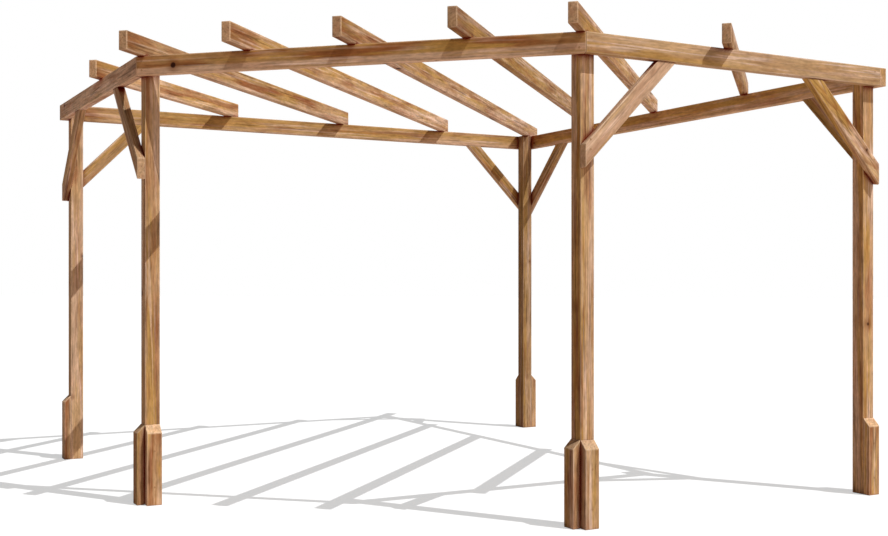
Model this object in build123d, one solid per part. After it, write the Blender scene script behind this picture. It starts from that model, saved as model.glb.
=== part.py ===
from build123d import *
import math
import os

# A free-standing corner pergola: a square of posts with one corner cut off, five beams on the posts'
# outer faces, a knee brace at each post end of the four straight-sided beams, bevelled blocks round
# the feet and seven rafters laid across from the cut side to the back corner. Lengths are in millimetres.

# Posts
post_size = 75.0
frame_height = 2235.0

# Spans between post centres: each of the two back sides, and each of the two short sides
back_span = 3350.0
short_span = 1795.0

# Beams
beam_thickness = 45.0
beam_height = 95.0

# Knee braces, set at 45 degrees under the beams
brace_thickness = 40.0
brace_width = 75.0
brace_drop = 515.0

# Blocks round the foot of each post
block_thickness = 40.0
block_height = 400.0
block_bevel_drop = 40.0

# Rafters, numbered from left to right, with the fourth near the back post
rafter_width = 45.0
rafter_height = 95.0
outer_rafter_gap = 600.0

# How far each rafter was laid to the right of its even place
rafter_1_shift = 15.0
rafter_2_shift = -5.0
rafter_3_shift = 20.0
rafter_4_shift = 10.0
rafter_5_shift = 25.0
rafter_6_shift = 5.0
rafter_7_shift = 20.0

# How far each rafter runs past the beams at its front end
rafter_1_front = 75.0
rafter_2_front = 165.0
rafter_3_front = 220.0
rafter_4_front = 185.0
rafter_5_front = 235.0
rafter_6_front = 180.0
rafter_7_front = 140.0

# How far each rafter runs past the beams at its back end
rafter_1_back = 50.0
rafter_2_back = 45.0
rafter_3_back = 50.0
rafter_4_back = 195.0
rafter_5_back = 95.0
rafter_6_back = 30.0
rafter_7_back = 95.0

# Layout: posts and beams are set out square to each other, with the back post at zero and the other
# posts on the negative sides of both axes. The finished layout is turned so that the cut side faces -Y.
layout_turn = 45
diagonal = math.sqrt(2)
half_post = post_size / 2
beam_face = half_post + beam_thickness
beam_bottom = frame_height - beam_height
mitre_setback = beam_thickness * math.tan(math.radians(layout_turn) / 2)

# Distances along Y, before the part is centred: the front beam's outer face and the back outer corner.
# The side beams' outer faces would meet each other at the last distance in front of the back corner.
front_face = -(back_span + short_span + half_post + beam_face) / diagonal
back_corner = beam_face * diagonal
side_corner = (back_span + beam_face) * diagonal

# Even places of the rafters along X: the second and sixth lie over the front posts
corner_place = (back_span - short_span) / diagonal
inner_place = corner_place / 2
outer_place = corner_place + outer_rafter_gap
rafter_places = [
    -outer_place + rafter_1_shift,
    -corner_place + rafter_2_shift,
    -inner_place + rafter_3_shift,
    rafter_4_shift,
    inner_place + rafter_5_shift,
    corner_place + rafter_6_shift,
    outer_place + rafter_7_shift,
]

# Front and back ends of the rafters along Y: the outer two cross the side beams, the others the front beam
rafter_fronts = [
    abs(rafter_places[0]) - side_corner - rafter_1_front,
    front_face - rafter_2_front,
    front_face - rafter_3_front,
    front_face - rafter_4_front,
    front_face - rafter_5_front,
    front_face - rafter_6_front,
    abs(rafter_places[6]) - side_corner - rafter_7_front,
]
rafter_backs = [
    back_corner - abs(rafter_places[0]) + rafter_1_back,
    back_corner - abs(rafter_places[1]) + rafter_2_back,
    back_corner - abs(rafter_places[2]) + rafter_3_back,
    back_corner - abs(rafter_places[3]) + rafter_4_back,
    back_corner - abs(rafter_places[4]) + rafter_5_back,
    back_corner - abs(rafter_places[5]) + rafter_6_back,
    back_corner - abs(rafter_places[6]) + rafter_7_back,
]
centre_shift = -(min(rafter_fronts) + max(rafter_backs)) / 2

UP = Vector(0, 0, 1)
TO_LEFT = Vector(-1, 0, 0)
TO_RIGHT = Vector(1, 0, 0)
TO_FRONT = Vector(0, -1, 0)
TO_BACK = Vector(0, 1, 0)

BACK = Vector(0, 0, 0)
LEFT = Vector(-back_span, 0, 0)
FRONT_LEFT = Vector(-back_span, -short_span, 0)


def upright(outline, base, height):
    """A prism over a plan outline."""
    face = make_face(Polyline(*outline, close=True))
    return Pos(0, 0, base) * extrude(face, amount=height, dir=UP)


def profiled(profile, origin, run, depth):
    """A prism of an upright profile, drawn along run and up from origin, with half its depth each side."""
    plane = Plane(origin=origin, x_dir=run, z_dir=run.cross(UP))
    face = plane * make_face(Polyline(*profile, close=True))
    return extrude(face, amount=depth / 2, both=True)


def post(centre):
    """A square post from the ground to the tops of the beams."""
    corner = centre - Vector(half_post, half_post, 0)
    outline = [
        (corner.X, corner.Y),
        (corner.X + post_size, corner.Y),
        (corner.X + post_size, corner.Y + post_size),
        (corner.X, corner.Y + post_size),
    ]
    return upright(outline, 0, frame_height)


def foot_block(centre, outward):
    """A block on one outer face of a post's foot, its top bevelled to shed water."""
    profile = [
        (0, 0),
        (block_thickness, 0),
        (block_thickness, block_height - block_bevel_drop),
        (0, block_height),
    ]
    return profiled(profile, centre + outward * half_post, outward, post_size)


def brace(centre, outward, along):
    """A knee brace on a post's outer face: plumb at the post's far edge, level under the beam."""
    upper_leg = brace_drop - brace_width * diagonal
    profile = [
        (0, beam_bottom - brace_drop),
        (0, beam_bottom - upper_leg),
        (upper_leg, beam_bottom),
        (brace_drop, beam_bottom),
    ]
    seat = centre + outward * (half_post + brace_thickness / 2)
    return profiled(profile, seat - along * half_post, along, brace_thickness)


def beam_front():
    """The beam across the cut corner, mitred at both ends to the two short side beams."""
    outer = (-back_span - beam_face, -short_span - half_post)
    inner = (-back_span - half_post, -short_span - half_post + mitre_setback)
    outline = [outer, inner, inner[::-1], outer[::-1]]
    return upright(outline, beam_bottom, beam_height)


def beam_left():
    """A short side beam: butted to the back beam at one end and mitred to the front beam at the other."""
    outline = [
        (-back_span - beam_face, half_post),
        (-back_span - half_post, half_post),
        (-back_span - half_post, -short_span - half_post + mitre_setback),
        (-back_span - beam_face, -short_span - half_post),
    ]
    return upright(outline, beam_bottom, beam_height)


def beam_back_left():
    """A back beam: run through past the side beam at one end and mitred at the back corner."""
    outline = [
        (-back_span - beam_face, half_post),
        (half_post, half_post),
        (beam_face, beam_face),
        (-back_span - beam_face, beam_face),
    ]
    return upright(outline, beam_bottom, beam_height)


def rafter(place, front, back):
    """A rafter that lies along Y on the tops of the beams, with square ends."""
    half_width = rafter_width / 2
    outline = [
        (place - half_width, front),
        (place + half_width, front),
        (place + half_width, back),
        (place - half_width, back),
    ]
    return Pos(0, centre_shift, 0) * upright(outline, frame_height, rafter_height)


def set_out(piece):
    """Turns a piece of the square layout so that the cut side faces -Y, centred over the origin."""
    return Pos(0, centre_shift, 0) * Rot(0, 0, layout_turn) * piece


def mirrored(piece):
    """The same piece on the other side of the pergola's middle plane."""
    return mirror(piece, about=Plane.YZ)


pieces = {}


def add_pair(left_name, right_name, piece):
    """Adds a piece of the left half and its mirror image in the right half."""
    pieces[left_name] = set_out(piece)
    pieces[right_name] = mirrored(pieces[left_name])


# Posts, with the two front posts cut at the head to bed the front beam
pieces["post_back"] = set_out(post(BACK))
add_pair("post_left", "post_right", post(LEFT))
add_pair("post_front_left", "post_front_right", post(FRONT_LEFT) - beam_front())

# Foot blocks, two on each post
add_pair("foot_block_back_left", "foot_block_back_right", foot_block(BACK, TO_BACK))
add_pair("foot_block_left_side", "foot_block_right_side", foot_block(LEFT, TO_LEFT))
add_pair("foot_block_left_rear", "foot_block_right_rear", foot_block(LEFT, TO_BACK))
add_pair("foot_block_front_left_side", "foot_block_front_right_side", foot_block(FRONT_LEFT, TO_LEFT))
add_pair("foot_block_front_left_inner", "foot_block_front_right_inner", foot_block(FRONT_LEFT, TO_FRONT))

# Beams
pieces["beam_front"] = set_out(beam_front())
add_pair("beam_left", "beam_right", beam_left())
add_pair("beam_back_left", "beam_back_right", beam_back_left())

# Knee braces, two under each beam but the front one
add_pair("brace_left_front", "brace_right_front", brace(FRONT_LEFT, TO_LEFT, TO_BACK))
add_pair("brace_left_rear", "brace_right_rear", brace(LEFT, TO_LEFT, TO_FRONT))
add_pair("brace_back_left_outer", "brace_back_right_outer", brace(LEFT, TO_BACK, TO_RIGHT))
add_pair("brace_back_left_inner", "brace_back_right_inner", brace(BACK, TO_BACK, TO_LEFT))

# Rafters
for number, (place, front, back) in enumerate(zip(rafter_places, rafter_fronts, rafter_backs), start=1):
    pieces[f"rafter_{number}"] = rafter(place, front, back)

os.makedirs("parts", exist_ok=True)
for name, piece in pieces.items():
    export_step(piece, f"parts/{name}.step")
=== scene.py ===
"""Dresses the timber corner pergola: grained sticks, screw heads, studio light and camera."""

import logging
import math
import random
from dataclasses import dataclass, field
from enum import Enum

import bmesh
import bpy
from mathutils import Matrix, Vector

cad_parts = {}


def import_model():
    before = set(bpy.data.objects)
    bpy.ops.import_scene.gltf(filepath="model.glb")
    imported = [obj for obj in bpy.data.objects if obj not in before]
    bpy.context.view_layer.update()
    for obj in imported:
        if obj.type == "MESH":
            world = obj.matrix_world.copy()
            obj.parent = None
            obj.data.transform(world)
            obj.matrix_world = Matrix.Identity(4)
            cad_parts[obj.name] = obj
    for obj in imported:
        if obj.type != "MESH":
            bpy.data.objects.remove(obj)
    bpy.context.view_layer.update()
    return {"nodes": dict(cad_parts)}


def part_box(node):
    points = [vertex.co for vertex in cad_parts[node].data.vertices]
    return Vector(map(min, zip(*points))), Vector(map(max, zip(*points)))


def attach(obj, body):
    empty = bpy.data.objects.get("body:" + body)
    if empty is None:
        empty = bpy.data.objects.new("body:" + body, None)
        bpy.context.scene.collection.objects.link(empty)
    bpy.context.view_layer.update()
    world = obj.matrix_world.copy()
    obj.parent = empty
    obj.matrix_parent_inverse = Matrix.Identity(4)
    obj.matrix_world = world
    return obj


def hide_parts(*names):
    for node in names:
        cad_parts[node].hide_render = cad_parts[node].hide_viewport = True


LOG = logging.getLogger("pergola")
MM = 0.001
BODY = "root"
UP = Vector((0, 0, 1))
HANDS = ("left", "right")

# The way that picks each stick's outer side, from which its grain is laid
FRONT_RIGHT = Vector((0.3, -1, 0))

# Cuts of sticks that hardly show are drawn from these ranges
START_RANGE = (-30.0, 30.0)
TONE_RANGE = (0.92, 1.06)
GOLD_RANGE = (-0.5, 0.5)
SLOPE_RANGE = (-0.05, 0.05)

# A stick without a main knot has it far outside
NO_KNOT_MM = (9000.0, 0.0, 0.0)

# Types of node that come up often
MATH = "ShaderNodeMath"
VECTOR_MATH = "ShaderNodeVectorMath"
MAP_RANGE = "ShaderNodeMapRange"

# Short names of types
Tree = bpy.types.NodeTree
Node = bpy.types.Node
Socket = bpy.types.NodeSocket
Material = bpy.types.Material
Object = bpy.types.Object
Nodes = dict[str, Node]
Pair = tuple[float, float]
Triple = tuple[float, float, float]


class Slot(Enum):
    """The record's material slots."""

    POST = "post_timber"
    BEAM = "beam_timber"
    RAFTER = "rafter_timber"
    BRACE = "brace_timber"
    BLOCK = "block_timber"
    STEEL = "fixing_steel"


class Layer(Enum):
    """Mesh attributes that carry a stick's own grain and colour, and its painted shade, to its
    material.
    """

    # The place in the log, in metres: along it, and across from the pith
    GRAIN = "grain"
    # The main knot's place in the log
    KNOT = "main_knot"
    # 1 on the eased edges, and 0 clear of them
    ARRIS = "arris"
    # Above 0 on faces cut across the grain
    END = "end_grain"
    # Painted shade: how far a place is darkened, at the rafters' front ends, near the back corner
    # and on beam ends
    EXPOSED = "exposed"
    # The fields of the stick's cut
    TONE = "tone"
    GOLD = "gold"
    RINGS = "rings"
    CLEAR = "clear"


# What a material reads of a stick's attributes
Marks = dict[Layer, bpy.types.NodeOutputs]


def linear(hex_colour: str) -> tuple[float, float, float, float]:
    """Turns an sRGB hex colour into linear light, by the standard's own curve.

    Args:
        hex_colour: A colour such as "#C89A66".

    Returns:
        Linear red, green, blue and an alpha of 1.
    """
    values = [int(hex_colour[i:i + 2], 16) / 255 for i in (1, 3, 5)]
    light = [v / 12.92 if v <= 0.04045 else ((v + 0.055) / 1.055) ** 2.4 for v in values]
    return (*light, 1.0)


def add_node(
    tree: Tree, kind: str, links: dict[int | str, object] | None = None, **settings: object,
) -> Node:
    """Adds a node with its settings, input values and links.

    Args:
        tree: The node tree that takes the node.
        kind: The node's type name.
        links: Inputs by name, or by number among those in use. Each is a plain value, an output
            socket, or a node, which stands for its first output in use.
        settings: Properties of the node by name.

    Returns:
        The new node.
    """
    node = tree.nodes.new(kind)
    for name, value in settings.items():
        setattr(node, name, value)
    in_use = [socket for socket in node.inputs if socket.enabled]
    for name, value in (links or {}).items():
        socket = in_use[name] if isinstance(name, int) else node.inputs[name]
        if isinstance(value, Node):
            value = next(output for output in value.outputs if output.enabled)
        if isinstance(value, Socket):
            tree.links.new(value, socket)
        else:
            socket.default_value = value
    return node


def blank_tree(owner: Material | bpy.types.World) -> Tree:
    """Gives a material or the world an empty node tree.

    Args:
        owner: The material or the world.

    Returns:
        Its tree.
    """
    owner.use_nodes = True
    owner.node_tree.nodes.clear()
    return owner.node_tree


def put_in_scene(name: str, data: bpy.types.ID) -> Object:
    """Makes an object and links it to the scene.

    Args:
        name: The object's name.
        data: Its mesh, lamp or camera.

    Returns:
        The new object.
    """
    made = bpy.data.objects.new(name, data)
    bpy.context.scene.collection.objects.link(made)
    return made


@dataclass(frozen=True)
class Figure:
    """The real size of one pattern in timber, along and across the grain."""

    length_mm: float
    width_mm: float
    detail: float = 2.0

    @property
    def scale(self) -> Triple:
        """How often light and dark repeat in a metre, along the grain and both ways across it."""
        across = 1 / (2 * self.width_mm * MM)
        return (1 / (2 * self.length_mm * MM), across, across)


@dataclass(frozen=True)
class TreatedSoftwood:
    """Brown pressure-treated pine, planed.

    The eye sees long two-tone bands from sapwood to heartwood, dark streaks and sparse knots, with
    growth rings that show as flames on flat-sawn faces and as straight lines on the others. Rings
    are drawn about twice their real width, so that they show from several metres away.
    """

    # Colours of the wood and of its marks
    sapwood: str = "#DCBB9B"
    heartwood: str = "#BE955F"
    gold: str = "#C8A056"
    brown: str = "#8C4E22"
    latewood: str = "#8A4E24"
    flame: str = "#93461C"
    dark_streak: str = "#451D06"
    pale_streak: str = "#F2D5BE"
    # Painted shade: darkens the rafters' front ends, the back corner and beam ends
    weathered: str = "#7E552F"
    # Painted shade: dark red-brown laid into closed corners
    corner_stain: str = "#741E00"
    knot: str = "#240400"
    knot_halo: str = "#7A4522"
    # Pale arrises: wear, and a painted highlight where edges catch the light
    worn_arris: str = "#F0D6B4"
    end_cut: str = "#E0BC94"

    # Growth rings: where in a ring latewood starts and is full, and how faint a ring may be
    ring_mm: float = 12.0
    late_start: float = 0.35
    late_full: float = 0.85
    faintest_ring: float = 0.15

    # How far the rings stray in long waves and in short ones
    wander_mm: float = 30.0
    ripple_mm: float = 6.0

    # Heartwood: its edge in the log, and how plainly it shows as the grain gets clearer
    heart_radius_mm: float = 62.0
    heart_blend_mm: float = 7.0
    heart_clear: Pair = (1.0, 1.8)
    heart_show: Pair = (0.65, 0.95)

    # Scattered knots: their spacing and sizes, the share of places with hardly any, and their shape
    knot_pitch: Figure = Figure(150.0, 55.0)
    knot_scatter: float = 0.85
    knot_mm: float = 15.0
    least_knot_mm: float = 0.1
    knot_free: float = 0.25
    knot_squeeze: Triple = (0.7, 1.0, 1.0)
    knot_inner: float = 0.55
    halo_share: float = 3.0

    # The one main knot that a stick may have
    main_knot_mm: float = 17.0
    main_knot_inner: float = 0.6

    # Painted shade: red-brown darkening in closed corners, weaker near the ground
    stain_reach_mm: float = 80.0
    stain_samples: int = 8
    dry_foot_mm: float = 90.0
    dry_foot_stain: float = 0.45

    # The surface: raised fibres and rings, and a dull planed skin
    relief_mm: float = 0.5
    relief_strength: float = 0.6
    ring_relief: float = 0.6
    roughness: float = 0.72
    roughness_spread: float = 0.1
    specular: float = 0.08

    # How far gold moves the bands, and how far flames fray the pale arrises, worn and with a
    # painted highlight
    gold_lean: float = 0.3
    arris_fray: float = 1.2

    # Levels of a noise between which the fine brightness goes from least to most
    dapple_levels: Pair = (0.3, 0.7)

    # Patterns by name, each started at another place along the grain
    figure_gap: float = 7.3
    figure_roughness: float = 0.55
    figures: tuple[tuple[str, Figure], ...] = (
        ("wander", Figure(420.0, 56.0, 3.0)),
        ("ripple", Figure(130.0, 24.0, 2.0)),
        ("cloud", Figure(240.0, 36.0, 3.0)),
        ("band", Figure(320.0, 18.0, 2.0)),
        ("flame", Figure(160.0, 18.0, 3.0)),
        ("dark", Figure(200.0, 8.0, 3.0)),
        ("pale", Figure(380.0, 8.0, 2.0)),
        ("mottle", Figure(60.0, 18.0, 3.0)),
        ("speckle", Figure(18.0, 5.0, 2.0)),
        ("fibre", Figure(90.0, 6.0, 3.0)),
    )

    def material(self) -> Material:
        """Builds the timber's material.

        Returns:
            A material that follows each stick's own grain attribute.
        """
        made = bpy.data.materials.new("treated_softwood_planed")
        tree = blank_tree(made)
        marks = {
            layer: add_node(tree, "ShaderNodeAttribute", attribute_name=layer.value).outputs
            for layer in Layer
        }
        noises = self._noises(tree, marks)
        knots = self._knots(tree, marks)
        rings = self._rings(tree, marks, noises, knots["swell"])
        masks = self._masks(tree, marks, noises, rings)
        colour = self._paint(tree, marks, masks | rings | knots)
        shaded = self._dapple(tree, marks, noises, colour)
        ridges = add_node(tree, MATH, {
            0: rings["late"], 1: self.ring_relief, 2: noises["fibre"],
        }, operation="MULTIPLY_ADD")
        bump = add_node(tree, "ShaderNodeBump", {
            "Strength": self.relief_strength, "Distance": self.relief_mm * MM, "Height": ridges,
        })
        rough = add_node(tree, MAP_RANGE, {
            "Value": noises["fibre"],
            "To Min": self.roughness - self.roughness_spread,
            "To Max": self.roughness + self.roughness_spread,
        })
        shader = add_node(tree, "ShaderNodeBsdfPrincipled", {
            "Base Color": shaded, "Roughness": rough,
            "Normal": bump, "Specular IOR Level": self.specular,
        })
        add_node(tree, "ShaderNodeOutputMaterial", {"Surface": shader})
        return made

    def _noises(self, tree: Tree, marks: Marks) -> Nodes:
        """Adds a noise for each figure, stretched along the grain.

        Args:
            tree: The material's tree.
            marks: The stick's attributes by layer.

        Returns:
            The noises by the figures' names.
        """
        noises = {}
        for number, (name, figure) in enumerate(self.figures):
            place = add_node(tree, VECTOR_MATH, {
                0: marks[Layer.GRAIN]["Vector"], 1: figure.scale,
                2: (self.figure_gap * number, 0.0, 0.0),
            }, operation="MULTIPLY_ADD")
            noises[name] = add_node(tree, "ShaderNodeTexNoise", {
                "Vector": place, "Scale": 1.0,
                "Detail": figure.detail, "Roughness": self.figure_roughness,
            })
        return noises

    def _knots(self, tree: Tree, marks: Marks) -> Nodes:
        """Scatters knots through the log, as round cores that the rings swell around.

        Args:
            tree: The material's tree.
            marks: The stick's attributes by layer.

        Returns:
            The core and halo masks, with the main knot, and the swell of the rings in metres.
        """
        grain = marks[Layer.GRAIN]["Vector"]
        scale = self.knot_pitch.scale
        cell_place = add_node(tree, VECTOR_MATH, {0: grain, 1: scale}, operation="MULTIPLY")
        cells = add_node(tree, "ShaderNodeTexVoronoi", {
            "Vector": cell_place, "Scale": 1.0, "Randomness": self.knot_scatter,
        })
        centre = add_node(tree, VECTOR_MATH, {
            0: cells.outputs["Position"], 1: scale,
        }, operation="DIVIDE")
        offset = add_node(tree, VECTOR_MATH, {0: grain, 1: centre}, operation="SUBTRACT")
        squeezed = add_node(tree, VECTOR_MATH, {
            0: offset, 1: self.knot_squeeze,
        }, operation="MULTIPLY")
        reach = add_node(tree, VECTOR_MATH, {0: squeezed}, operation="LENGTH")
        draw = add_node(tree, "ShaderNodeSeparateXYZ", {0: cells.outputs["Color"]})
        radius = add_node(tree, MAP_RANGE, {
            "Value": draw, "From Min": self.knot_free, "From Max": 1.0,
            "To Min": self.least_knot_mm * MM, "To Max": self.knot_mm * MM,
        })
        inner = add_node(tree, MATH, {0: radius, 1: self.knot_inner}, operation="MULTIPLY")
        outer = add_node(tree, MATH, {0: radius, 1: self.halo_share}, operation="MULTIPLY")
        masks = {}
        for name, edge in (("core", radius), ("halo", outer)):
            masks[name] = add_node(tree, MAP_RANGE, {
                "Value": reach, "From Min": inner, "From Max": edge, "To Min": 1.0, "To Max": 0.0,
            }, interpolation_type="SMOOTHSTEP")
        masks["swell"] = add_node(tree, MATH, {0: masks["halo"], 1: radius}, operation="MULTIPLY")
        near = add_node(tree, VECTOR_MATH, {
            0: grain, 1: marks[Layer.KNOT]["Vector"],
        }, operation="DISTANCE")
        halo_mm = self.halo_share * self.main_knot_mm
        for name, edge_mm in (("core", self.main_knot_mm), ("halo", halo_mm)):
            spot = add_node(tree, MAP_RANGE, {
                "Value": near,
                "From Min": self.main_knot_inner * self.main_knot_mm * MM,
                "From Max": edge_mm * MM, "To Min": 1.0, "To Max": 0.0,
            }, interpolation_type="SMOOTHSTEP")
            masks[name] = add_node(tree, MATH, {0: masks[name], 1: spot}, operation="MAXIMUM")
        return masks

    def _rings(self, tree: Tree, marks: Marks, noises: Nodes, swell: Node) -> Nodes:
        """Lays growth rings round a pith line that wanders along the stick.

        Args:
            tree: The material's tree.
            marks: The stick's attributes by layer.
            noises: The noises by name.
            swell: How far knots push the rings out, in metres.

        Returns:
            The latewood mask and the heartwood mask.
        """
        clear = marks[Layer.CLEAR]["Fac"]
        place = marks[Layer.GRAIN]["Vector"]
        noise_middle = (0.5, 0.5, 0.5)
        for name, stray_mm in (("wander", self.wander_mm), ("ripple", self.ripple_mm)):
            middle = add_node(tree, VECTOR_MATH, {
                0: noises[name].outputs["Color"], 1: noise_middle,
            }, operation="SUBTRACT")
            shift = add_node(tree, MATH, {0: 2 * stray_mm * MM, 1: clear}, operation="DIVIDE")
            stray = add_node(tree, VECTOR_MATH, {0: middle, "Scale": shift}, operation="SCALE")
            place = add_node(tree, VECTOR_MATH, {0: stray, 1: place}, operation="ADD")
        across = add_node(tree, VECTOR_MATH, {0: place, 1: (0.0, 1.0, 1.0)}, operation="MULTIPLY")
        radius = add_node(tree, VECTOR_MATH, {0: across}, operation="LENGTH")
        swelled = add_node(tree, MATH, {0: radius, 1: swell}, operation="ADD")
        years = add_node(tree, MATH, {0: swelled, 1: self.ring_mm * MM}, operation="DIVIDE")
        part = add_node(tree, MATH, {0: years}, operation="FRACT")
        year = add_node(tree, MATH, {0: years}, operation="FLOOR")
        vigour = add_node(tree, "ShaderNodeTexWhiteNoise", {"W": year}, noise_dimensions="1D")
        rise = add_node(tree, MAP_RANGE, {
            "Value": part, "From Min": self.late_start, "From Max": self.late_full,
        }, interpolation_type="SMOOTHSTEP")
        fall = add_node(tree, MAP_RANGE, {
            "Value": part, "From Min": self.late_full, "From Max": 1.0,
            "To Min": 1.0, "To Max": 0.0,
        }, interpolation_type="SMOOTHSTEP")
        band = add_node(tree, MATH, {0: rise, 1: fall}, operation="MULTIPLY")
        strength = add_node(tree, MAP_RANGE, {
            "Value": vigour, "To Min": self.faintest_ring, "To Max": 1.0,
        })
        late = add_node(tree, MATH, {0: band, 1: strength}, operation="MULTIPLY")
        heart = add_node(tree, MAP_RANGE, {
            "Value": swelled,
            "From Min": (self.heart_radius_mm - self.heart_blend_mm) * MM,
            "From Max": (self.heart_radius_mm + self.heart_blend_mm) * MM,
            "To Min": 1.0, "To Max": 0.0,
        }, interpolation_type="SMOOTHSTEP")
        show = add_node(tree, MAP_RANGE, {
            "Value": clear, "From Min": self.heart_clear[0], "From Max": self.heart_clear[1],
            "To Min": self.heart_show[0], "To Max": self.heart_show[1],
        })
        heartwood = add_node(tree, MATH, {0: heart, 1: show}, operation="MULTIPLY")
        return {"late": late, "heart": heartwood}

    def _corners(self, tree: Tree) -> Node:
        """Finds closed corners, where shade is painted in as a red-brown darkening.

        Args:
            tree: The material's tree.

        Returns:
            How closed a place is, less near the ground.
        """
        open_air = add_node(tree, "ShaderNodeAmbientOcclusion", {
            "Distance": self.stain_reach_mm * MM,
        }, samples=self.stain_samples)
        closed = add_node(tree, MATH, {0: 1.0, 1: open_air.outputs["AO"]}, operation="SUBTRACT")
        place = add_node(tree, "ShaderNodeTexCoord").outputs["Object"]
        height = add_node(tree, "ShaderNodeSeparateXYZ", {0: place}).outputs["Z"]
        above = add_node(tree, MAP_RANGE, {
            "Value": height, "From Max": self.dry_foot_mm * MM, "To Min": self.dry_foot_stain,
        })
        return add_node(tree, MATH, {0: closed, 1: above}, operation="MULTIPLY")

    def _masks(self, tree: Tree, marks: Marks, noises: Nodes, rings: Nodes) -> Nodes:
        """Turns noises and attributes into masks of the marks on the wood.

        Args:
            tree: The material's tree.
            marks: The stick's attributes by layer.
            noises: The noises by name.
            rings: Latewood and heartwood masks.

        Returns:
            Masks by name.
        """
        gilded = add_node(tree, MATH, {
            0: marks[Layer.GOLD]["Fac"], 1: self.gold_lean, 2: noises["band"],
        }, operation="MULTIPLY_ADD")
        frayed = add_node(tree, MATH, {
            0: noises["flame"], 1: self.arris_fray, 2: marks[Layer.ARRIS]["Fac"],
        }, operation="MULTIPLY_ADD")
        masks = {}
        # Each mark starts at the first level and is full at the second
        for name, value, low, high in (
            # Painted shade in closed corners
            ("corner", self._corners(tree), 0.16, 0.54),
            ("cloud", noises["cloud"], 0.44, 0.62),
            ("gold", gilded, 0.46, 0.58),
            ("flame", noises["flame"], 0.48, 0.68),
            ("dark", noises["dark"], 0.57, 0.68),
            ("pale", noises["pale"], 0.55, 0.66),
            ("fibre", noises["fibre"], 0.45, 0.7),
            # Pale arrises, worn and with a painted highlight
            ("arris", frayed, 1.1, 1.7),
            # Painted shade from the stick's own attribute, at rafters' front ends, the back corner
            # and beam ends
            ("exposed", marks[Layer.EXPOSED]["Fac"], 0.0, 1.0),
        ):
            masks[name] = add_node(tree, MAP_RANGE, {
                "Value": value, "From Min": low, "From Max": high,
            }, interpolation_type="SMOOTHSTEP")
        # Shares of a mark on sapwood and on full heartwood
        for name, on_sap, on_heart in (("cloud", 0.4, 1.2), ("gold", 0.6, 1.1), ("pale", 1.1, 0.4)):
            favour = add_node(tree, MAP_RANGE, {
                "Value": rings["heart"], "To Min": on_sap, "To Max": on_heart,
            })
            masks[name] = add_node(tree, MATH, {0: masks[name], 1: favour}, operation="MULTIPLY")
        quiet = add_node(tree, MATH, {0: marks[Layer.RINGS]["Fac"], 1: 1.0}, operation="MINIMUM")
        for name in ("flame", "dark", "fibre"):
            masks[name] = add_node(tree, MATH, {0: masks[name], 1: quiet}, operation="MULTIPLY")
        return masks

    def _paint(self, tree: Tree, marks: Marks, masks: Nodes) -> Node:
        """Lays the colours over each other, from the sapwood to the knots, with painted shade and a
        painted highlight on the arrises.

        Args:
            tree: The material's tree.
            marks: The stick's attributes by layer.
            masks: The masks of marks, rings and knots by name.

        Returns:
            The timber's colour before its tone.
        """
        late = add_node(tree, MATH, {
            0: masks["late"], 1: marks[Layer.RINGS]["Fac"],
        }, operation="MULTIPLY")
        end = marks[Layer.END]["Fac"]
        colour = linear(self.sapwood)
        # Ends are paled twice, so that rings and streaks show there, but weakly
        for paint, mask, share in (
            (self.heartwood, masks["heart"], 1.0),
            (self.brown, masks["cloud"], 0.6),
            (self.gold, masks["gold"], 0.7),
            (self.pale_streak, masks["pale"], 0.75),
            # Painted shade: darker towards the rafters' front ends, the back corner and beam ends
            (self.weathered, masks["exposed"], 0.55),
            (self.end_cut, end, 0.55),
            (self.latewood, late, 0.36),
            (self.flame, masks["flame"], 0.45),
            (self.dark_streak, masks["dark"], 0.55),
            (self.dark_streak, masks["fibre"], 0.2),
            (self.end_cut, end, 0.3),
            (self.knot_halo, masks["halo"], 0.6),
            (self.knot, masks["core"], 0.95),
            # Pale arrises: wear, and a painted highlight
            (self.worn_arris, masks["arris"], 0.35),
            # Painted shade in closed corners
            (self.corner_stain, masks["corner"], 1.0),
        ):
            amount = add_node(tree, MATH, {0: mask, 1: share}, operation="MULTIPLY")
            colour = add_node(tree, "ShaderNodeMix", {
                0: amount, 1: colour, 2: linear(paint),
            }, data_type="RGBA")
        return colour

    def _dapple(self, tree: Tree, marks: Marks, noises: Nodes, colour: Node) -> Node:
        """Gives the colour the stick's own tone and a fine uneven brightness.

        Args:
            tree: The material's tree.
            marks: The stick's attributes by layer.
            noises: The noises by name.
            colour: The timber's colour before its tone.

        Returns:
            The timber's colour.
        """
        value = marks[Layer.TONE]["Fac"]
        low, high = self.dapple_levels
        for name, least, most in (("mottle", 0.86, 1.15), ("speckle", 0.86, 1.16)):
            dapple = add_node(tree, MAP_RANGE, {
                "Value": noises[name], "From Min": low, "From Max": high,
                "To Min": least, "To Max": most,
            })
            value = add_node(tree, MATH, {0: dapple, 1: value}, operation="MULTIPLY")
        return add_node(tree, "ShaderNodeHueSaturation", {"Value": value, "Color": colour})


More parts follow.
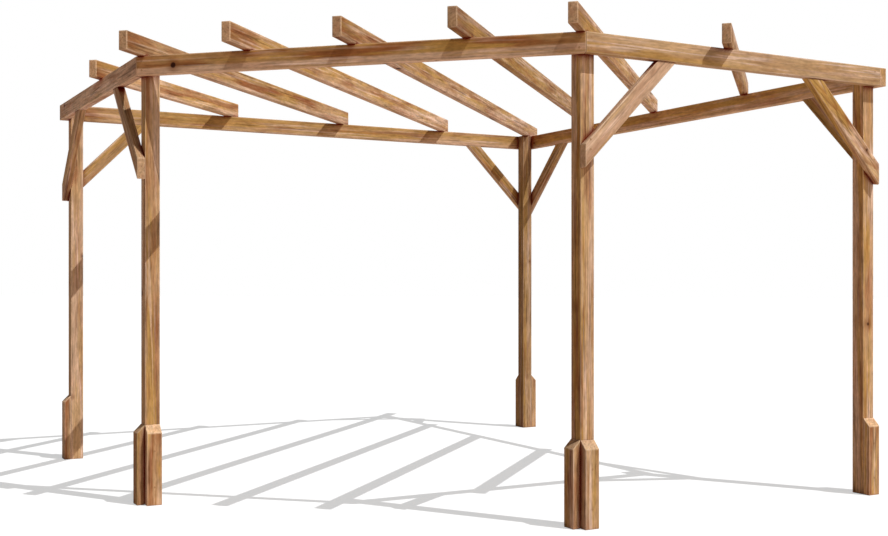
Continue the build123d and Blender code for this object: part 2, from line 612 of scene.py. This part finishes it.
@dataclass(frozen=True)
class CoatedSteel:
    """Brown-coated screw steel: a timber-brown skin with a little gloss, so that heads sit quietly.

    The coating's blotches are about a millimetre wide and change only its gloss.
    """

    colour: str = "#A67C52"
    metallic: float = 0.4
    roughness: float = 0.45
    polished: float = 0.1
    dulled: float = 0.15
    blotch_mm: float = 10 / 9
    blotch_detail: float = 2.0

    def material(self) -> Material:
        """Builds the screws' material.

        Returns:
            The material.
        """
        made = bpy.data.materials.new("brown_coated_steel")
        tree = blank_tree(made)
        place = add_node(tree, "ShaderNodeTexCoord").outputs["Object"]
        blotches = add_node(tree, "ShaderNodeTexNoise", {
            "Vector": place, "Scale": 1 / (self.blotch_mm * MM), "Detail": self.blotch_detail,
        })
        rough = add_node(tree, MAP_RANGE, {
            "Value": blotches,
            "To Min": self.roughness - self.polished, "To Max": self.roughness + self.dulled,
        })
        shader = add_node(tree, "ShaderNodeBsdfPrincipled", {
            "Base Color": linear(self.colour), "Metallic": self.metallic, "Roughness": rough,
        })
        add_node(tree, "ShaderNodeOutputMaterial", {"Surface": shader})
        return made


@dataclass(frozen=True)
class Face:
    """One flat side of a stick."""

    centre: Vector
    normal: Vector
    area: float


@dataclass(frozen=True)
class Seat:
    """A place for a screw head: a point on a face and the way that it looks."""

    point: Vector
    normal: Vector


def forward(way: Vector) -> Vector:
    """A direction of unit length, turned so that its largest part is positive."""
    unit = way.normalized()
    return unit if max(unit, key=abs) > 0 else -unit


def plan_gap(a: Vector, b: Vector) -> float:
    """The distance between two points in plan."""
    return math.hypot(a.x - b.x, a.y - b.y)


def flat_way(start: Vector, finish: Vector) -> Vector:
    """The level direction from one point to another."""
    return Vector((finish.x - start.x, finish.y - start.y, 0)).normalized()


def stand_out(face: Face, centre: Vector) -> float:
    """How far a face stands out from a middle point, along its own normal."""
    return (face.centre - centre).dot(face.normal)


def both_hands(*patterns: str) -> tuple[str, ...]:
    """Names of nodes of the left half, then of the same nodes of the right half."""
    return tuple(pattern.format(hand) for hand in HANDS for pattern in patterns)


@dataclass(frozen=True)
class Cut:
    """How one stick was sawn from its log, and how its colour leans.

    Attributes:
        pith_mm: Where the log's pith runs, out of and up from the stick's middle.
        start: How far along the log the stick lies, in metres.
        tone: Its brightness, where 1 is the plain timber.
        gold: How far its bands lean to gold.
        slope: How far the pith drifts out for each metre along the stick.
        rings: How strong its ring lines are. Below 1, its streaks are quieter too.
        clear: Above 1, straighter grain and a plainer split of heartwood and sapwood.
        knot_mm: Its main knot's place along, out of and up from the stick's middle.
    """

    pith_mm: Pair
    start: float = 0.0
    tone: float = 1.0
    gold: float = 0.0
    slope: float = 0.02
    rings: float = 1.0
    clear: float = 1.0
    knot_mm: Triple = NO_KNOT_MM

    @classmethod
    def drawn(cls, seed: int, pith_mm: Pair) -> "Cut":
        """Draws the cut of a stick that hardly shows.

        Args:
            seed: The stick's own seed.
            pith_mm: The pith's least and most distance from the stick's middle.

        Returns:
            The cut, which is the same for the same seed.
        """
        draw = random.Random(seed)
        angle = draw.uniform(0, 2 * math.pi)
        pith = draw.uniform(*pith_mm)
        return cls(
            (pith * math.cos(angle), pith * math.sin(angle)),
            start=draw.uniform(*START_RANGE),
            tone=draw.uniform(*TONE_RANGE),
            gold=draw.uniform(*GOLD_RANGE),
            slope=draw.uniform(*SLOPE_RANGE),
        )


# Cuts of sticks, with their nodes
Cuts = tuple[tuple[str, Cut], ...]


@dataclass
class Stick:
    """One timber of the frame, rebuilt with eased arrises and its own grain.

    Attributes:
        node: The frame's node that the stick replaces.
        source: That node's object.
        slot: The record's material slot; not used.
        cut: How the stick was sawn.
        exposed_run: How far shade is painted on from its first end, darkest there.
        end_show: How plainly its paler end grain shows; below 1, its ends also take painted shade.
        ease: How far the arrises are rounded.
        arris_reach: The width of the pale strip beside an arris, worn and with a painted highlight,
            on a large face.
        arris_share: The same strip on a small face, as a share of the face's size.
        end_slope: A face whose normal follows the grain by more than this is an end.
        weld: Corners of the node's mesh that are closer than this are one corner.
        flat_angle_deg: Triangles that turn by less than this are one flat face.
        axis: The direction of the grain.
        centre: The middle of the corners.
        reach: How far the two ends lie from the centre, along the grain.
        faces: The flat sides, before the arrises are eased.
        out: The way that the outer side looks.
        rise: The direction across the outer side.
    """

    node: str
    source: Object
    slot: Slot
    cut: Cut
    exposed_run: float = 0.0
    end_show: float = 1.0
    ease: float = 3.0 * MM
    ease_segments: int = 3
    round_profile: float = 0.5
    arris_reach: float = 7.0 * MM
    arris_share: float = 0.15
    end_slope: float = 0.5
    weld: float = 0.01 * MM
    flat_angle_deg: float = 1.0
    axis: Vector = field(init=False)
    centre: Vector = field(init=False)
    reach: Pair = field(init=False)
    faces: list[Face] = field(init=False)
    out: Vector = field(init=False)
    rise: Vector = field(init=False)

    def __post_init__(self) -> None:
        """Reads the grain's direction, the faces and the ends from the frame's node."""
        solid = self._solid()
        longest = max(solid.edges, key=lambda edge: edge.calc_length())
        self.axis = forward(longest.verts[1].co - longest.verts[0].co)
        corners = [v.co.copy() for v in solid.verts]
        self.centre = sum(corners, Vector()) / len(corners)
        runs = [(c - self.centre).dot(self.axis) for c in corners]
        self.reach = (min(runs), max(runs))
        self.faces = [
            Face(f.calc_center_median(), f.normal.copy(), f.calc_area()) for f in solid.faces
        ]
        flanks = [f for f in self.faces if abs(f.normal.dot(self.axis)) < self.end_slope]
        self.out = max(flanks, key=lambda face: face.normal.dot(FRONT_RIGHT)).normal
        self.rise = forward(self.out.cross(self.axis))
        solid.free()

    def _solid(self) -> bmesh.types.BMesh:
        """Copies the node's mesh, with its loose triangles joined into flat faces.

        Returns:
            The copy, which the caller frees.
        """
        solid = bmesh.new()
        solid.from_mesh(self.source.data)
        bmesh.ops.remove_doubles(solid, verts=solid.verts, dist=self.weld)
        flat = math.radians(self.flat_angle_deg)
        bmesh.ops.dissolve_limit(solid, angle_limit=flat, verts=solid.verts, edges=solid.edges)
        return solid

    def side(self, toward: Vector) -> Face:
        """The stick's face that looks most nearly in a direction."""
        return max(self.faces, key=lambda face: face.normal.dot(toward))

    def build(self, finish: Material) -> Object:
        """Makes the dressed stick in place of the frame's node.

        Args:
            finish: The timber's material.

        Returns:
            The new object, riding on the pergola's one body.
        """
        solid = self._solid()
        eased = bmesh.ops.bevel(
            solid, geom=solid.edges[:], offset=self.ease, segments=self.ease_segments,
            profile=self.round_profile, affect="EDGES", clamp_overlap=True,
        )
        rounded = set(eased["faces"])
        flats = [f for f in solid.faces if f not in rounded]
        for flat in flats:
            inset = min(self.arris_reach, self.arris_share * math.sqrt(flat.calc_area()))
            bmesh.ops.inset_individual(solid, faces=[flat], thickness=inset, use_even_offset=True)
        for face in solid.faces:
            face.smooth = True
        solid.verts.index_update()
        inner = {v.index for f in flats for v in f.verts}
        cut_across = [f for f in solid.faces if abs(f.normal.dot(self.axis)) > self.end_slope]
        ends = {v.index for f in cut_across for v in f.verts}
        mesh = bpy.data.meshes.new(self.node + "_timber")
        solid.to_mesh(mesh)
        solid.free()
        self._lay_grain(mesh, inner, ends)
        mesh.materials.append(finish)
        piece = put_in_scene(self.node + "_timber", mesh)
        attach(piece, BODY)
        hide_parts(self.node)
        return piece

    def _in_log(self, run: float, out: float, rise: float) -> Triple:
        """Turns a place in the stick into grain coordinates.

        Args:
            run: How far it lies from the centre, along the grain.
            out: How far it lies towards the outer side.
            rise: How far it lies across the outer side.

        Returns:
            The distance along the log, and two distances across it from the pith.
        """
        pith_out, pith_rise = self.cut.pith_mm
        across = out - pith_out * MM - self.cut.slope * run
        return (run + self.cut.start, across, rise - pith_rise * MM)

    def _lay_grain(self, mesh: bpy.types.Mesh, inner: set[int], ends: set[int]) -> None:
        """Writes the grain coordinates, the wear masks and the stick's own colour on the mesh.

        Args:
            mesh: The stick's mesh.
            inner: Vertices clear of the arrises.
            ends: Vertices of faces cut across the grain.
        """
        count = len(mesh.vertices)
        places = []
        exposed = []
        for vertex in mesh.vertices:
            offset = vertex.co - self.centre
            run = offset.dot(self.axis)
            places.append(self._in_log(run, offset.dot(self.out), offset.dot(self.rise)))
            # Painted shade, darkest at the first end; ends of a stick whose end_show is below 1
            # take it too
            darkening = 1 - (run - self.reach[0]) / self.exposed_run if self.exposed_run else 0.0
            exposed.append(max(darkening, 1 - self.end_show) if vertex.index in ends else darkening)
        knot = self._in_log(*(size * MM for size in self.cut.knot_mm))
        for layer, rows in ((Layer.GRAIN, places), (Layer.KNOT, [knot] * count)):
            values = [number for row in rows for number in row]
            made = mesh.attributes.new(layer.value, "FLOAT_VECTOR", "POINT")
            made.data.foreach_set("vector", values)
        for layer, values in (
            (Layer.ARRIS, [0.0 if i in inner else 1.0 for i in range(count)]),
            (Layer.END, [self.end_show if i in ends else 0.0 for i in range(count)]),
            (Layer.TONE, [self.cut.tone] * count),
            (Layer.GOLD, [self.cut.gold] * count),
            (Layer.RINGS, [self.cut.rings] * count),
            (Layer.CLEAR, [self.cut.clear] * count),
            (Layer.EXPOSED, exposed),
        ):
            mesh.attributes.new(layer.value, "FLOAT", "POINT").data.foreach_set("value", values)


@dataclass
class Timbers:
    """The like sticks of one sub-assembly, which are cut and dressed alike.

    Attributes:
        frame_nodes: The frame's objects by node.
        slot: The record's material slot.
        nodes: The sticks' nodes, in order.
        first_seed: The first stick's seed, from which the others count up.
        pith_mm: The pith's least and most distance from the middle of a stick whose cut is drawn.
        chosen: The cuts of the sticks that show, given one by one.
        end_show: How plainly the paler end grain shows; below 1, the ends also take painted shade.
        sticks: The sticks, in the order of their nodes.
    """

    frame_nodes: dict[str, Object]
    slot: Slot
    nodes: tuple[str, ...]
    first_seed: int
    pith_mm: Pair
    chosen: Cuts
    end_show: float = 1.0
    sticks: list[Stick] = field(init=False)

    def __post_init__(self) -> None:
        """Cuts the sticks, each as chosen or from its own seed."""
        cuts = dict(self.chosen)
        self.sticks = []
        for number, node in enumerate(self.nodes):
            cut = cuts.get(node) or Cut.drawn(self.first_seed + number, self.pith_mm)
            self.sticks.append(Stick(
                node, self.frame_nodes[node], self.slot, cut,
                exposed_run=self.browned_run(node), end_show=self.end_show,
            ))

    def browned_run(self, node: str) -> float:
        """How far shade is painted on a stick from its first end, which most don't have at all."""
        return 0.0

    def build(self, finish: Material) -> list[Object]:
        """Makes and dresses the sticks, in order."""
        return [stick.build(finish) for stick in self.sticks]

    def nearest(self, other: Stick) -> Stick:
        """The stick that stands nearest to another in plan."""
        return min(self.sticks, key=lambda stick: plan_gap(stick.centre, other.centre))


@dataclass
class Posts(Timbers):
    """The five square posts."""

    slot: Slot = Slot.POST
    nodes: tuple[str, ...] = ("post_back", *both_hands("post_{}"), *both_hands("post_front_{}"))
    first_seed: int = 100
    pith_mm: Pair = (10.0, 55.0)
    chosen: Cuts = (
        ("post_front_left", Cut((56.0, 22.0), gold=-0.08, rings=0.85)),
        ("post_front_right", Cut(
            (70.0, -34.0), tone=1.01, gold=0.25, slope=0.01, rings=1.2, clear=1.4,
            knot_mm=(-462.0, -1.0, -14.6),
        )),
        # Its low tone is partly the post's own and partly painted shade of the back corner
        ("post_back", Cut((20.0, -60.0), tone=0.78, gold=0.15)),
        ("post_left", Cut((0.0, -85.0), tone=1.02, gold=-0.08, rings=0.8)),
        ("post_right", Cut(
            (60.0, -46.0), tone=1.12, gold=0.1, slope=-0.02, rings=0.85,
            knot_mm=(-225.0, 26.0, -3.0),
        )),
    )


@dataclass
class FootBlocks(Timbers):
    """The bevelled blocks round the posts' feet, each held by two screws in a line."""

    slot: Slot = Slot.BLOCK
    nodes: tuple[str, ...] = both_hands(
        "foot_block_back_{}", "foot_block_{}_side", "foot_block_{}_rear",
        "foot_block_front_{}_side", "foot_block_front_{}_inner",
    )
    first_seed: int = 200
    pith_mm: Pair = (25.0, 80.0)
    chosen: Cuts = (
        ("foot_block_front_right_side", Cut(
            (70.0, 45.0), tone=0.91, gold=0.05, rings=0.9, clear=1.1,
        )),
        ("foot_block_front_right_inner", Cut((-50.0, -40.0), tone=0.95, gold=0.1, rings=1.5)),
        ("foot_block_front_left_side", Cut((15.0, 10.0), tone=0.87, gold=0.2)),
        ("foot_block_front_left_inner", Cut((50.0, 20.0), tone=1.12, gold=-0.3, rings=1.3)),
        ("foot_block_left_rear", Cut((60.0, -20.0), tone=1.1, gold=-0.2)),
        ("foot_block_left_side", Cut((60.0, 20.0), tone=1.1, gold=-0.2)),
        ("foot_block_right_side", Cut((42.0, 2.0), tone=1.13)),
    )
    screw_heights: tuple[float, ...] = (90 * MM, 270 * MM)

    def seats(self, posts: Posts) -> list[Seat]:
        """Finds screw seats on each block's outer face.

        Args:
            posts: The posts that the blocks stand against.

        Returns:
            Two seats for each block.
        """
        found = []
        for block in self.sticks:
            post = posts.nearest(block)
            outer = block.side(flat_way(post.centre, block.centre))
            for height in self.screw_heights:
                found.append(Seat(Vector((outer.centre.x, outer.centre.y, height)), outer.normal))
        return found


@dataclass
class Beams(Timbers):
    """The five beams on the posts' outer faces, each screwed twice to every post that it passes."""

    slot: Slot = Slot.BEAM
    nodes: tuple[str, ...] = ("beam_front", *both_hands("beam_{}"), *both_hands("beam_back_{}"))
    first_seed: int = 300
    pith_mm: Pair = (25.0, 90.0)
    chosen: Cuts = (
        ("beam_front", Cut(
            (34.0, 50.0), tone=1.12, gold=-0.15, rings=0.5, clear=1.9, knot_mm=(-925.9, 22.5, -6.0),
        )),
        ("beam_back_right", Cut(
            (-16.0, 38.0), tone=1.17, gold=0.2, slope=-0.016, rings=0.6, clear=1.9,
        )),
        ("beam_right", Cut((76.0, -62.0), tone=0.9, gold=0.35, rings=0.4)),
        ("beam_back_left", Cut((60.0, 20.0), tone=1.03, gold=0.2, slope=0.006, rings=0.7)),
        ("beam_left", Cut((-62.0, 46.0), tone=1.12, gold=-0.4)),
    )
    # Ends show their paler grain weakly, and take painted shade
    end_show: float = 0.25
    # Painted shade on one beam, at the back corner
    damp_beam: str = "beam_back_right"
    damp_run: float = 520 * MM
    screw_rise: float = 24 * MM
    reach_to_post: float = 95 * MM

    def browned_run(self, node: str) -> float:
        """How far shade is painted on a beam from its first end: only on one, at the back corner.
        """
        return self.damp_run if node == self.damp_beam else 0.0

    def seats(self, posts: Posts) -> list[Seat]:
        """Finds screw seats on the beams' outer faces, in line with the posts.

        Args:
            posts: The posts.

        Returns:
            Two seats for each beam at each post.
        """
        found = []
        for beam in self.sticks:
            outer = beam.side(Vector((beam.centre.x, beam.centre.y, 0)))
            for post in posts.sticks:
                away = post.centre - beam.centre
                run = away.dot(beam.axis)
                sideways = abs(away.dot(outer.normal))
                if sideways > self.reach_to_post or not beam.reach[0] < run < beam.reach[1]:
                    continue
                face_run = (outer.centre - beam.centre).dot(beam.axis)
                foot = outer.centre + beam.axis * (run - face_run)
                for rise in (-self.screw_rise, self.screw_rise):
                    found.append(Seat(foot + UP * rise, outer.normal))
        return found


@dataclass
class KneeBraces(Timbers):
    """The eight 45 degree braces, each screwed twice to its post."""

    slot: Slot = Slot.BRACE
    nodes: tuple[str, ...] = both_hands(
        "brace_{}_front", "brace_{}_rear", "brace_back_{}_outer", "brace_back_{}_inner",
    )
    first_seed: int = 400
    pith_mm: Pair = (25.0, 80.0)
    chosen: Cuts = (
        ("brace_right_front", Cut((120.0, 70.0), tone=1.01, gold=-0.3, rings=0.5, clear=0.6)),
        ("brace_right_rear", Cut(
            (-36.0, 4.0), tone=1.08, gold=0.35, slope=0.09, rings=1.6, clear=1.9,
            knot_mm=(-176.0, 8.0, 21.0),
        )),
        # Its low tone paints in the shade under the left beam
        ("brace_left_front", Cut((30.0, -30.0), tone=0.86, gold=-0.5)),
        ("brace_back_left_outer", Cut((13.0, -27.0), tone=0.98, gold=0.35, rings=0.6)),
        ("brace_back_left_inner", Cut((0.0, 44.0), tone=0.97, gold=0.45)),
        ("brace_back_right_inner", Cut((-17.0, -26.0), tone=0.91, gold=0.1)),
        ("brace_back_right_outer", Cut((-42.0, 23.0), tone=0.84, gold=0.35)),
    )
    screw_spread: float = 22 * MM
    seat_above_foot: float = 105 * MM
    area_digits: int = 5

    def seats(self, posts: Posts) -> list[Seat]:
        """Finds screw seats on the braces' outer faces, over the posts.

        Args:
            posts: The posts.

        Returns:
            Two seats for each brace.
        """
        found = []
        for brace in self.sticks:
            post = posts.nearest(brace)
            low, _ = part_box(brace.node)
            outer = max(brace.faces, key=lambda face: (
                round(face.area, self.area_digits), stand_out(face, post.centre),
            ))
            middle = post.centre + outer.normal * stand_out(outer, post.centre)
            for spread in (-self.screw_spread, self.screw_spread):
                height = low.z + self.seat_above_foot + spread
                found.append(Seat(Vector((middle.x, middle.y, height)), outer.normal))
        return found


@dataclass
class Rafters(Timbers):
    """The seven rafters, from left to right, screwed down where they cross the beams."""

    slot: Slot = Slot.RAFTER
    nodes: tuple[str, ...] = tuple(f"rafter_{number}" for number in range(1, 8))
    first_seed: int = 500
    pith_mm: Pair = (25.0, 90.0)
    chosen: Cuts = (
        ("rafter_1", Cut((52.0, 30.0), tone=1.25, gold=-0.1)),
        ("rafter_2", Cut((40.0, 30.0), tone=1.04, gold=-0.1)),
        ("rafter_3", Cut((60.0, 26.0), tone=1.14)),
        ("rafter_4", Cut((64.0, 30.0), tone=1.03, gold=-0.1)),
        ("rafter_5", Cut((70.0, -36.0), tone=0.9, gold=0.25, rings=1.4)),
        ("rafter_6", Cut((70.0, -40.0), tone=1.05)),
    )
    # Painted shade along the rafters' front ends
    sunned_run: float = 320 * MM
    screw_gap: float = 150 * MM
    overlap: float = 60 * MM

    def browned_run(self, node: str) -> float:
        """How far shade is painted on a rafter, from its front end."""
        return self.sunned_run

    def seats(self, beams: Beams) -> list[Seat]:
        """Finds screw seats on the rafters' tops, over the beams.

        Args:
            beams: The beams.

        Returns:
            One seat for each crossing.
        """
        found = []
        for rafter in self.sticks:
            top = rafter.side(UP)
            places: list[Vector] = []
            for beam in beams.sticks:
                outward = Vector((-beam.axis.y, beam.axis.x, 0))
                closing = rafter.axis.dot(outward)
                run = (beam.centre - rafter.centre).dot(outward) / closing
                place = rafter.centre + rafter.axis * run
                across = (place - beam.centre).dot(beam.axis)
                inside = rafter.reach[0] < run < rafter.reach[1]
                if inside and beam.reach[0] - self.overlap < across < beam.reach[1] + self.overlap:
                    if all((place - other).length > self.screw_gap for other in places):
                        places.append(place)
            found += [Seat(Vector((p.x, p.y, top.centre.z)), top.normal) for p in places]
        return found


@dataclass
class Screws:
    """Countersunk wood screws, seen as small heads nearly flush with the timber."""

    head: float = 9.0 * MM
    proud: float = 0.4 * MM
    recess_share: float = 0.5
    recess_depth: float = 1.5 * MM
    sides: int = 12
    sunk: float = 2.0 * MM
    seed: int = 7
    inputs: tuple[tuple[str, str], ...] = (
        ("Seats", "NodeSocketGeometry"),
        ("Head Radius", "NodeSocketFloat"),
        ("Head Depth", "NodeSocketFloat"),
        ("Proud", "NodeSocketFloat"),
        ("Recess Share", "NodeSocketFloat"),
        ("Recess Depth", "NodeSocketFloat"),
        ("Seed", "NodeSocketInt"),
        ("Finish", "NodeSocketMaterial"),
    )

    def tree(self) -> Tree:
        """Builds the geometry tree that sets a head on every seat.

        Returns:
            The tree, with named inputs for the sizes and the material.
        """
        tree = bpy.data.node_groups.new("screw_heads", "GeometryNodeTree")
        tree.interface.new_socket("Geometry", in_out="OUTPUT", socket_type="NodeSocketGeometry")
        for name, kind in self.inputs:
            tree.interface.new_socket(name, in_out="INPUT", socket_type=kind)
        given = add_node(tree, "NodeGroupInput").outputs
        drum = add_node(tree, "GeometryNodeMeshCylinder", {
            "Vertices": self.sides, "Radius": given["Head Radius"], "Depth": given["Head Depth"],
        }, fill_type="NGON")
        rim = add_node(tree, "GeometryNodeExtrudeMesh", {
            "Mesh": drum, "Selection": drum.outputs["Top"],
            "Offset Scale": 0.0, "Individual": False,
        }, mode="FACES")
        mouth = add_node(tree, "GeometryNodeScaleElements", {
            "Geometry": rim, "Selection": rim.outputs["Top"], "Scale": given["Recess Share"],
        })
        deep = add_node(tree, MATH, {0: given["Recess Depth"], 1: -1.0}, operation="MULTIPLY")
        recess = add_node(tree, "GeometryNodeExtrudeMesh", {
            "Mesh": mouth, "Selection": rim.outputs["Top"],
            "Offset Scale": deep, "Individual": False,
        }, mode="FACES")
        half = add_node(tree, MATH, {
            0: given["Head Depth"], 1: -0.5, 2: given["Proud"],
        }, operation="MULTIPLY_ADD")
        drop = add_node(tree, "ShaderNodeCombineXYZ", {"Z": half})
        seated = add_node(tree, "GeometryNodeTransform", {"Geometry": recess, "Translation": drop})
        way = add_node(tree, "GeometryNodeInputNamedAttribute", {
            "Name": "seat_normal",
        }, data_type="FLOAT_VECTOR")
        facing = add_node(tree, "FunctionNodeAlignRotationToVector", {"Vector": way}, axis="Z")
        turn = add_node(tree, "FunctionNodeRandomValue", {
            0: 0.0, 1: 2 * math.pi, "Seed": given["Seed"],
        }, data_type="FLOAT")
        spin = add_node(tree, "FunctionNodeAxisAngleToRotation", {"Angle": turn})
        both = add_node(tree, "FunctionNodeRotateRotation", {
            "Rotation": facing, "Rotate By": spin,
        }, rotation_space="LOCAL")
        placed = add_node(tree, "GeometryNodeInstanceOnPoints", {
            "Points": given["Seats"], "Instance": seated, "Rotation": both,
        })
        real = add_node(tree, "GeometryNodeRealizeInstances", {"Geometry": placed})
        dressed = add_node(tree, "GeometryNodeSetMaterial", {
            "Geometry": real, "Material": given["Finish"],
        })
        add_node(tree, "NodeGroupOutput", {"Geometry": dressed})
        return tree

    def build(self, name: str, seats: list[Seat], tree: Tree, finish: Material) -> Object:
        """Makes one mesh of all the heads on a list of seats.

        Args:
            name: The piece's name.
            seats: Where the heads go.
            tree: The geometry tree.
            finish: The screws' material.

        Returns:
            The new object, riding on the pergola's one body.
        """
        points = bpy.data.meshes.new(name + "_seats")
        points.from_pydata([s.point for s in seats], [], [])
        normals = points.attributes.new("seat_normal", "FLOAT_VECTOR", "POINT")
        for row, seat in zip(normals.data, seats):
            row.vector = seat.normal
        carrier = put_in_scene(name + "_seats", points)
        modifier = carrier.modifiers.new("heads", "NODES")
        modifier.node_group = tree
        values = {
            "Head Radius": self.head / 2,
            "Head Depth": self.sunk + self.proud,
            "Proud": self.proud,
            "Recess Share": self.recess_share,
            "Recess Depth": self.recess_depth,
            "Seed": self.seed,
            "Finish": finish,
        }
        for socket in tree.interface.items_tree:
            if socket.in_out == "INPUT" and socket.name in values:
                modifier[socket.identifier] = values[socket.name]
        graph = bpy.context.evaluated_depsgraph_get()
        mesh = bpy.data.meshes.new_from_object(carrier.evaluated_get(graph))
        mesh.name = name
        bpy.data.objects.remove(carrier)
        piece = put_in_scene(name, mesh)
        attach(piece, BODY)
        return piece


@dataclass
class PhotoCamera:
    """The photograph's camera: level, with its optical centre a little off the frame's middle."""

    image_width: int = 888
    image_height: int = 536
    focal_px: float = 1208.9
    centre_x_px: float = 469.7
    centre_y_px: float = 282.7
    station: Triple = (2.0711, -7.2447, 1.1091)
    heading_deg: float = 15.471
    sensor_mm: float = 36.0

    def build(self) -> Object:
        """Makes the camera and gives it to the scene.

        Returns:
            The camera.
        """
        data = bpy.data.cameras.new("photo_camera")
        data.sensor_width = self.sensor_mm
        data.lens = self.sensor_mm * self.focal_px / self.image_width
        data.shift_x = (self.image_width / 2 - self.centre_x_px) / self.image_width
        data.shift_y = (self.centre_y_px - self.image_height / 2) / self.image_width
        camera = put_in_scene("photo_camera", data)
        camera.location = self.station
        camera.rotation_euler = (math.pi / 2, 0, math.radians(self.heading_deg))
        bpy.context.scene.camera = camera
        return camera


@dataclass(frozen=True)
class Lamp:
    """A lamp so far away that its light is even.

    Attributes:
        name: The lamp's name.
        way: The direction towards it.
        strength: Its power on a facing surface.
        angle_deg: How wide it looks.
        colour: Its sRGB colour.
    """

    name: str
    way: Triple
    strength: float
    angle_deg: float
    colour: str = "#FFFFFF"

    def build(self) -> Object:
        """Makes the lamp, shining from its direction.

        Returns:
            The lamp.
        """
        data = bpy.data.lights.new(self.name, "SUN")
        data.energy = self.strength
        data.color = linear(self.colour)[:3]
        data.angle = math.radians(self.angle_deg)
        lamp = put_in_scene(self.name, data)
        lamp.rotation_euler = Vector(self.way).to_track_quat("Z", "Y").to_euler()
        return lamp


@dataclass
class Studio:
    """A white floor, a crisp high lamp, a broad soft lamp from the same side and a dim surround."""

    # The floor: what it throws back on the timber, how its shadow looks, and its own white
    floor_size: float = 160.0
    floor_drop: float = 0.5 * MM
    floor_bounce: str = "#D5C0B5"
    floor_shade: str = "#CACACA"
    floor_glow: str = "#FCFEFF"
    floor_glow_strength: float = 0.575

    lamps: tuple[Lamp, ...] = (
        Lamp("key", (0.494, -0.133, 0.859), strength=2.88, angle_deg=0.25),
        Lamp("side", (0.85, -0.42, 0.3), strength=0.70, angle_deg=60.0, colour="#FFF0E4"),
    )

    # The surround, as the timber gets it
    surround: str = "#FFCDB0"
    surround_strength: float = 0.02

    def build(self) -> None:
        """Makes the floor, the lamps and the world."""
        self._floor()
        for lamp in self.lamps:
            lamp.build()
        self._world()
        bpy.context.scene.view_settings.view_transform = "Standard"

    def _seen(self, tree: Tree) -> Node:
        """Masks the rays that show the background: from the camera, a gloss or through glass.

        Args:
            tree: A material's or the world's tree.

        Returns:
            1 on those rays and 0 on the rest.
        """
        rays = add_node(tree, "ShaderNodeLightPath").outputs
        gloss = add_node(tree, MATH, {
            0: rays["Is Camera Ray"], 1: rays["Is Glossy Ray"],
        }, operation="MAXIMUM")
        return add_node(tree, MATH, {0: gloss, 1: rays["Is Transmission Ray"]}, operation="MAXIMUM")

    def _floor(self) -> None:
        """Makes the pale floor, which keeps the pergola's shadow."""
        half = self.floor_size / 2
        plan = ((-half, -half), (half, -half), (half, half), (-half, half))
        mesh = bpy.data.meshes.new("studio_floor")
        mesh.from_pydata([(x, y, -self.floor_drop) for x, y in plan], [], [(0, 1, 2, 3)])
        floor = put_in_scene("studio_floor", mesh)
        paint = bpy.data.materials.new("white_studio_floor")
        tree = blank_tree(paint)
        seen = self._seen(tree)
        grey = add_node(tree, "ShaderNodeMix", {
            0: seen, 1: linear(self.floor_bounce), 2: linear(self.floor_shade),
        }, data_type="RGBA")
        matt = add_node(tree, "ShaderNodeBsdfDiffuse", {"Color": grey})
        strength = add_node(tree, MATH, {
            0: seen, 1: self.floor_glow_strength,
        }, operation="MULTIPLY")
        glow = add_node(tree, "ShaderNodeEmission", {
            "Color": linear(self.floor_glow), "Strength": strength,
        })
        total = add_node(tree, "ShaderNodeAddShader", {0: matt, 1: glow})
        add_node(tree, "ShaderNodeOutputMaterial", {"Surface": total})
        mesh.materials.append(paint)

    def _world(self) -> None:
        """Makes the surround: white where it is seen, and a dim warm fill on the object."""
        world = bpy.data.worlds.new("studio_world")
        tree = blank_tree(world)
        seen = self._seen(tree)
        fill = add_node(tree, "ShaderNodeBackground", {
            "Color": linear(self.surround), "Strength": self.surround_strength,
        })
        white = add_node(tree, "ShaderNodeBackground", {"Color": (1, 1, 1, 1), "Strength": 1.0})
        mix = add_node(tree, "ShaderNodeMixShader", {0: seen, 1: fill, 2: white})
        add_node(tree, "ShaderNodeOutputWorld", {"Surface": mix})
        bpy.context.scene.world = world


def main(frame_nodes: dict[str, Object]) -> None:
    """Builds the pergola's pieces in order, then the studio and the camera.

    Args:
        frame_nodes: The frame's objects by node.
    """
    logging.basicConfig(level=logging.INFO, format="%(name)s: %(message)s")
    timber = TreatedSoftwood().material()
    steel = CoatedSteel().material()
    posts = Posts(frame_nodes)
    blocks = FootBlocks(frame_nodes)
    beams = Beams(frame_nodes)
    braces = KneeBraces(frame_nodes)
    rafters = Rafters(frame_nodes)
    for group in (posts, blocks, beams, braces, rafters):
        for piece in group.build(timber):
            LOG.info("%s with %d faces", piece.name, len(piece.data.polygons))
    screws = Screws()
    tree = screws.tree()
    for name, seats in (
        ("screws_blocks", blocks.seats(posts)),
        ("screws_beams", beams.seats(posts)),
        ("screws_braces", braces.seats(posts)),
        ("screws_rafters", rafters.seats(beams)),
    ):
        piece = screws.build(name, seats, tree, steel)
        LOG.info("%s with %d heads", piece.name, len(seats))
    Studio().build()
    PhotoCamera().build()


if __name__ == "__main__":
    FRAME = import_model()
    main(FRAME["nodes"])
